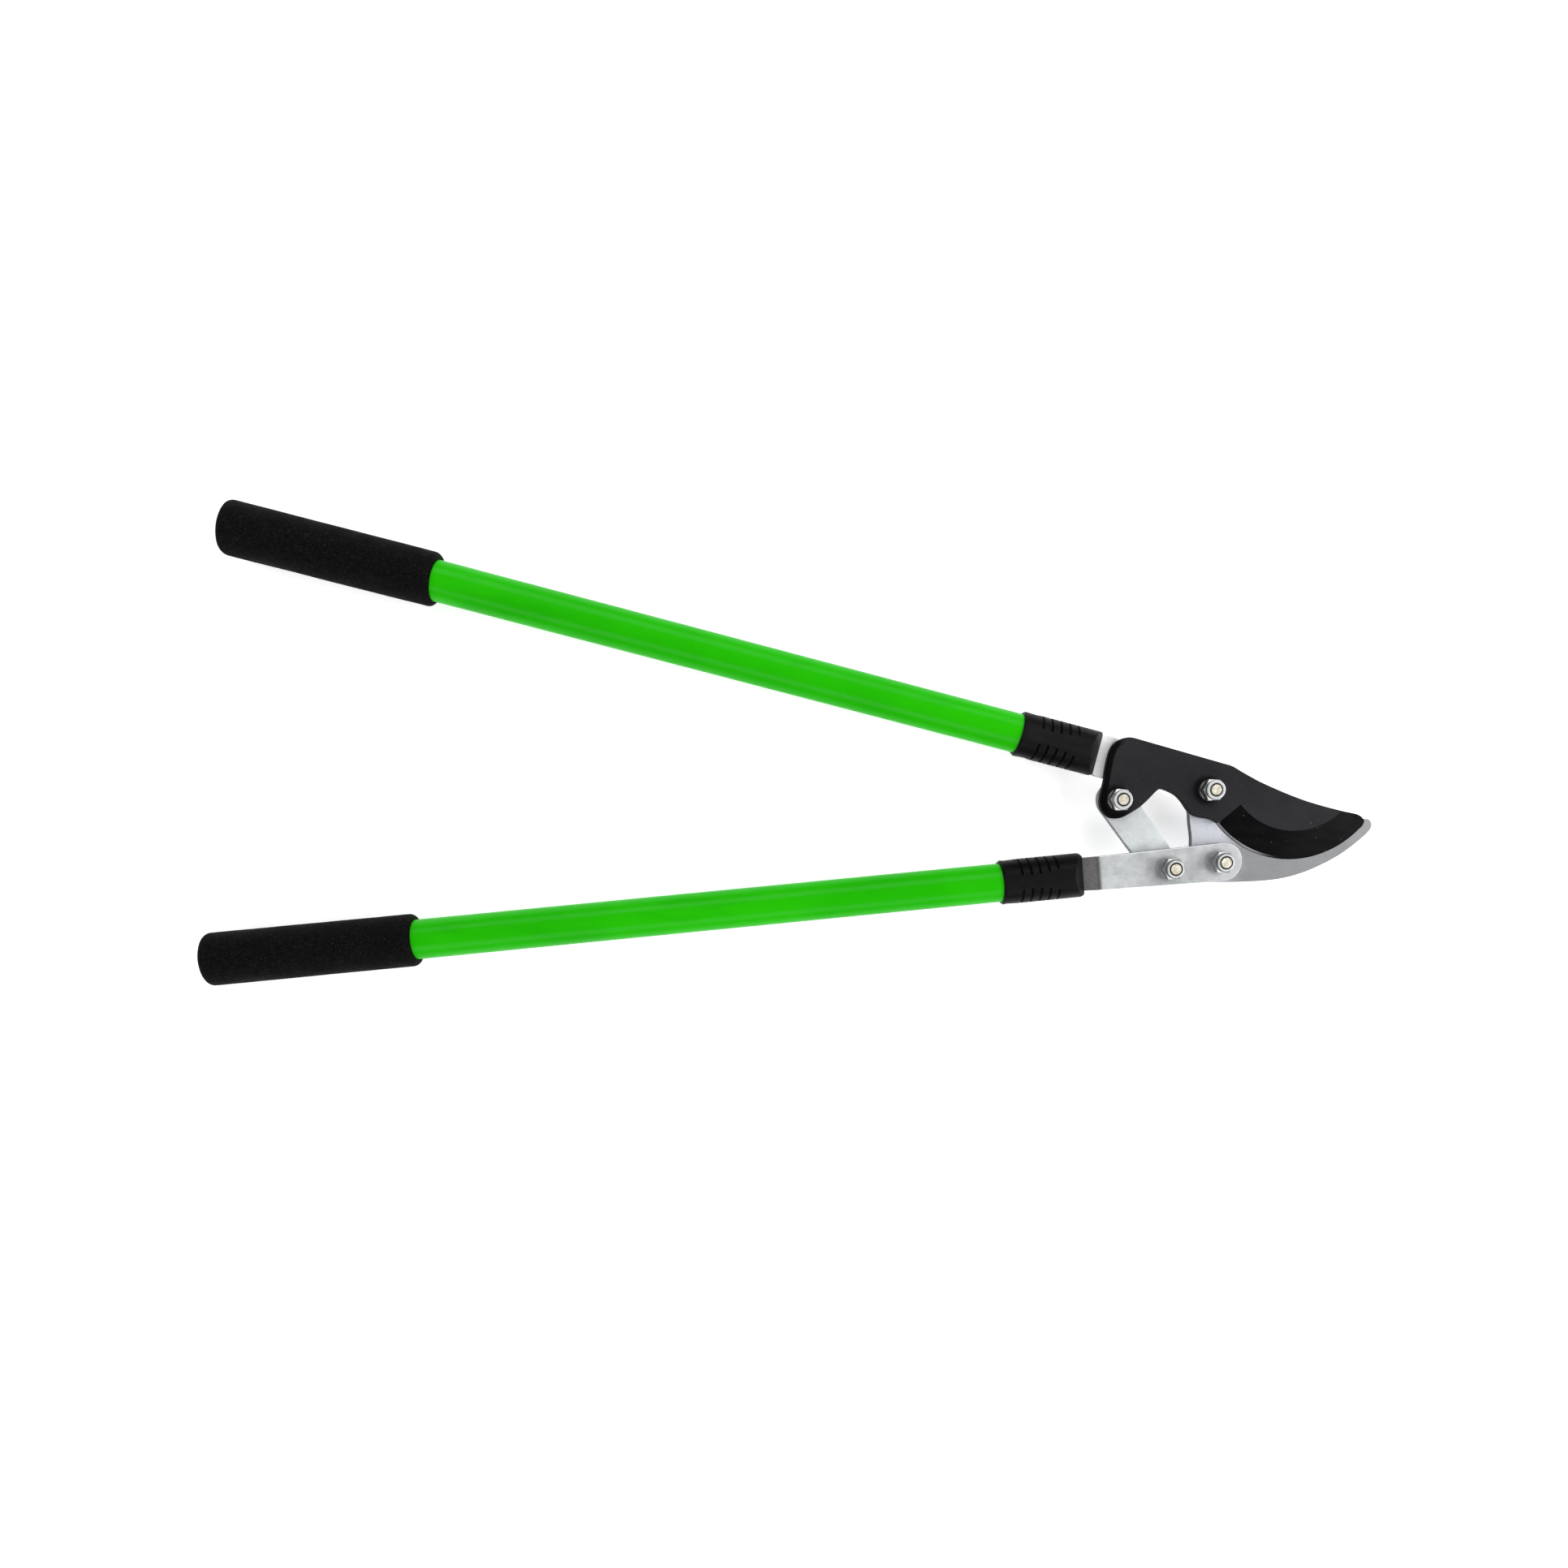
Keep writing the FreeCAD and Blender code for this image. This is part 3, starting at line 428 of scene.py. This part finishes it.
MAT = {
    "tube": enamel(),
    "foam": foam(),
    "plastic_upper": moulded(True),
    "plastic_lower": moulded(False),
    "blade": coated(),
    "hook": steel("hook_steel", (0.965, 0.98, 1.0), 0.200, 0.250, 0.42, 0.55, metal=0.55, mott_scale=30, dirt=0.22, lines=0.10,
                  pale=(0.60, 0.61, 0.65)),
    "link": steel("link_zinc", (0.935, 0.98, 1.0), 0.60, 0.74, 0.36, 0.50, metal=0.45, mott_scale=60, dirt=0.25),
    "upper_tang": steel("upper_tang_zinc", (1.0, 1.0, 1.0), 0.90, 0.96, 0.34, 0.46, metal=0.10, mott_scale=50, dirt=0.10),
    "lower_tang": steel("lower_tang_zinc", (0.95, 0.98, 1.0), 0.44, 0.66, 0.36, 0.50, metal=0.55, mott_scale=55, dirt=0.45,
                        lines=0.12, dark_x=(-0.0768, -0.0738, 0.96),
                        halo=PIV_TANG, lit_edge=True),
    "nut": fastener("nut_zinc", (0.62, 0.635, 0.63), 0.24, 0.34, 0.85, top=(0.60, 0.615, 0.62)),
    "spring": fastener("spring_washer_zinc", (0.46, 0.475, 0.465), 0.28, 0.40, 0.85),
    "washer": fastener("flat_washer_zinc", (0.72, 0.73, 0.73), 0.26, 0.38),
    "pin": fastener("pin_steel", (0.60, 0.60, 0.61), 0.28, 0.40),
    "bolt": bolt_metal(),
}
ring_mat = Mat("nylon_black")
ring_mat.set("Base Color", ring_mat.mix(ring_mat.noise(900, 2), (0.010, 0.010, 0.010), (0.018, 0.018, 0.018)))
ring_mat.set("Roughness", ring_mat.span(ring_mat.noise(300, 2), 0.3, 0.7, 0.38, 0.5))
MAT["nylon"] = ring_mat.m


def pick(n):
    if n.endswith("_tube"):
        return "tube"
    if n.endswith("_grip"):
        return "foam"
    if n.endswith(("_sleeve", "_end_plug", "_tang_insert")):
        return "plastic_" + n.split("_")[0]
    if n == "cutting_blade":
        return "blade"
    if n == "hook_blade":
        return "hook"
    if n == "link_plate":
        return "link"
    if n in ("upper_tang", "lower_tang"):
        return n
    for k, v in (("_lock_nut", "nut"), ("_spring_washer", "spring"), ("_flat_washer", "washer"),
                 ("_cross_pin", "pin"), ("_bolt", "bolt"), ("_nylon_ring", "nylon")):
        if n.endswith(k):
            return v
    raise ValueError(n)


for name, ob in N.items():
    ob.data.materials.clear()
    ob.data.materials.append(MAT[pick(name)])


# ------------------------------------------------------------------ foam grips
def foam_grip(name, upper):
    """Closed foam sleeve: domed free end, rolled inner rim, a bore for the tube, gently uneven skin."""
    end = UP_END if upper else LO_END
    x1 = end - SLEEVE_LEN - TUBE_VIS
    x0 = x1 - (0.12585 if upper else 0.12765)
    k, q = END_ROUND, RIM_ROUND
    gr = 0.01636 if upper else 0.01653
    # the foam isn't quite central on its tube, and its closed end is pressed a little flat
    off, lean = (0.00021, -0.007) if upper else (-0.00016, 0.002)
    prof = []                                  # (station, radius, how much of the unevenness applies)
    for i in range(1, 15):                     # slightly crowned end face
        t = i / 15.0
        prof.append((x0 + 0.0005 * t * t, (gr - k) * t, 1.0))
    for i in range(0, 17):
        a = math.radians(90 * i / 16.0)
        prof.append((x0 + 0.0005 + (k - 0.0005) * (1 - math.cos(a)), gr - k + k * math.sin(a), 1.0))
    n_len = 118
    for i in range(1, n_len):
        t = i / n_len
        prof.append((x0 + k + (x1 - q - x0 - k) * t, gr, 1.0))
    for i in range(0, 13):
        a = math.radians(90 * i / 12.0)
        prof.append((x1 - q + q * math.sin(a), gr - q + q * math.cos(a), 1.0 - 0.6 * i / 12.0))
    prof.append((x1 - 0.0001, TUBE_R + 0.00005, 0.0))
    for i in range(1, 8):
        prof.append((x1 - 0.0001 - (x1 - 0.0001 - x0 - END_WALL) * i / 7.0, TUBE_R + 0.00005, 0.0))
    seg = 168
    bm = bmesh.new()
    seed = Vector((3.1, 7.7, 1.3)) if upper else Vector((11.9, 2.4, 6.5))
    rings = []
    for (x, r, w) in prof:
        row = []
        for j in range(seg):
            a = 2 * math.pi * j / seg
            p = Vector((x, r * math.cos(a), r * math.sin(a)))
            if w:
                q3 = p + seed * 0.05
                d = (noise.noise(q3 * 38.0) * 0.00012 + noise.noise(q3 * 170.0) * 0.00006
                     + noise.noise(q3 * 620.0) * 0.00003) - 0.00004
                nrm = Vector((0, math.cos(a), math.sin(a)))
                if x < x0 + k:
                    f = (r - (gr - k)) / k if r > gr - k else 0.0
                    nrm = Vector((-math.sqrt(max(0.0, 1 - f * f)), f * math.cos(a), f * math.sin(a)))
                elif x > x1 - q:
                    f = max(0.0, (r - (gr - q)) / q)
                    nrm = Vector((math.sqrt(max(0.0, 1 - f * f)), f * math.cos(a), f * math.sin(a)))
                p = p + nrm * d * w
                t = min(max((x - x0) / 0.012, 0.0), 1.0)
                p.z *= 0.68 + 0.32 * math.sqrt(max(0.0, 1 - (1 - t) ** 2))
                p.y += (off + lean * (x1 - x)) * min(1.0, max(0.0, (r - TUBE_R) / 0.002) if x > x0 + END_WALL else 1.0)
            row.append(bm.verts.new(p))
        rings.append(row)
    c0 = bm.verts.new((x0 - 0.00005, off + lean * (x1 - x0), 0))
    for j in range(seg):
        bm.faces.new((c0, rings[0][(j + 1) % seg], rings[0][j]))
    for a, b in zip(rings, rings[1:]):
        for j in range(seg):
            bm.faces.new((a[j], a[(j + 1) % seg], b[(j + 1) % seg], b[j]))
    c1 = bm.verts.new((prof[-1][0], 0, 0))
    last = rings[-1]
    for j in range(seg):
        bm.faces.new((c1, last[j], last[(j + 1) % seg]))
    bmesh.ops.recalc_face_normals(bm, faces=bm.faces)
    bm.transform(handle_matrix(upper))
    me = bpy.data.meshes.new(name)
    bm.to_mesh(me)
    bm.free()
    for p in me.polygons:
        p.use_smooth = True
    ob = bpy.data.objects.new(name, me)
    bpy.context.scene.collection.objects.link(ob)
    me.materials.append(MAT["foam"])
    return ob


for side, up in (("upper", True), ("lower", False)):
    g = foam_grip(side + "_foam_grip", up)
    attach(g, BODY[side + "_grip"])
    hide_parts(side + "_grip")

# ------------------------------------------------------------------ floor, world, lights
bm = bmesh.new()
bmesh.ops.create_grid(bm, x_segments=8, y_segments=8, size=16.0)
me = bpy.data.meshes.new("floor")
bm.to_mesh(me)
bm.free()
floor = bpy.data.objects.new("floor", me)
bpy.context.scene.collection.objects.link(floor)
floor.location = (-0.25, 0.0, -0.0003)
fm = Mat("pale_floor")
fm.set("Base Color", fm.mix(fm.noise(3, 2), (0.90, 0.90, 0.90), (0.92, 0.92, 0.92)))
fm.set("Roughness", 0.9).set("Specular IOR Level", 0.1)
fm.set("Emission Color", (1.0, 1.0, 1.0, 1)).set("Emission Strength", 0.47)
me.materials.append(fm.m)

world = bpy.data.worlds.new("studio")
bpy.context.scene.world = world
world.use_nodes = True
bg = world.node_tree.nodes["Background"]
bg.inputs[0].default_value = (1.0, 1.0, 1.0, 1)
bg.inputs[1].default_value = 0.34


def area(name, loc, target, sx, sy, power):
    d = bpy.data.lights.new(name, "AREA")
    d.shape, d.size, d.size_y, d.energy = "RECTANGLE", sx, sy, power
    o = bpy.data.objects.new(name, d)
    bpy.context.scene.collection.objects.link(o)
    o.location = loc
    o.rotation_mode = "QUATERNION"
    o.rotation_quaternion = (Vector(target) - Vector(loc)).to_track_quat("-Z", "Y")
    return o


mid = (-0.26, -0.02, 0.0)
area("back", (-0.26, 1.75, 1.30), mid, 3.0, 1.0, 29)
area("front", (-0.26, -1.80, 1.30), mid, 3.0, 1.0, 27)
area("left", (-2.05, 0.0, 1.15), mid, 2.2, 0.9, 6.0)
area("right", (1.55, 0.0, 1.15), mid, 2.2, 0.9, 30.0)

vs = bpy.context.scene.view_settings
vs.view_transform = "Standard"
vs.look = "None"
vs.exposure = 0.0
vs.gamma = 1.0
